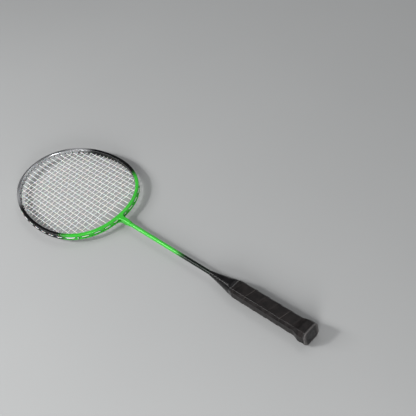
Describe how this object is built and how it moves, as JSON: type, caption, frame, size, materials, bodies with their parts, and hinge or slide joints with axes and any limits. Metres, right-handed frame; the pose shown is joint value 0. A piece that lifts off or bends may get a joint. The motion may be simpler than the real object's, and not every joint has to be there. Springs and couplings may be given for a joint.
{
  "type": "badminton racket",
  "caption": "Badminton racket: oval strung head on a slim shaft, T-joint throat, tapered cone and octagonal tape-wrapped grip with a flared butt.",
  "frame": {"origin": "centre of the flat end face of the butt", "axes": "+X from the butt along the shaft to the tip of the head, +Y across the head, +Z square to the string bed"},
  "size_m": [0.6722, 0.2034, 0.0296],
  "materials": {
    "frame_paint": "gloss paint fading green to black to silver",
    "shaft_paint": "gloss paint fading green to black",
    "plug_rubber": "matte",
    "cone_plastic": "gloss",
    "core_wood": "bare turned wood",
    "underlay_foam": "double-sided cloth tape",
    "grip_tape": "satin synthetic leather tape",
    "end_tape": "satin vinyl tape",
    "butt_plastic": "satin moulded plastic",
    "badge_plastic": "plain glossy disc",
    "pin_steel": "plain wire",
    "grommet_plastic": "moulded nylon",
    "string_nylon": "white nylon string"
  },
  "bodies": {
    "root": {"head_frame": "frame_paint", "throat_joint": "frame_paint", "shaft_tube": "shaft_paint", "shaft_plug": "plug_rubber", "handle_cone": "cone_plastic", "handle_core": "core_wood", "grip_underlay": "underlay_foam", "grip_wrap": "grip_tape", "grip_end_tape": "end_tape", "butt_cap": "butt_plastic", "butt_badge": "badge_plastic", "butt_pins": "pin_steel", "grommets_tip": "grommet_plastic", "grommets_left": "grommet_plastic", "grommets_right": "grommet_plastic", "grommets_throat": "grommet_plastic", "string_knots": "string_nylon", "main_string": "string_nylon", "cross_string": "string_nylon"}
  },
  "joints": []
}
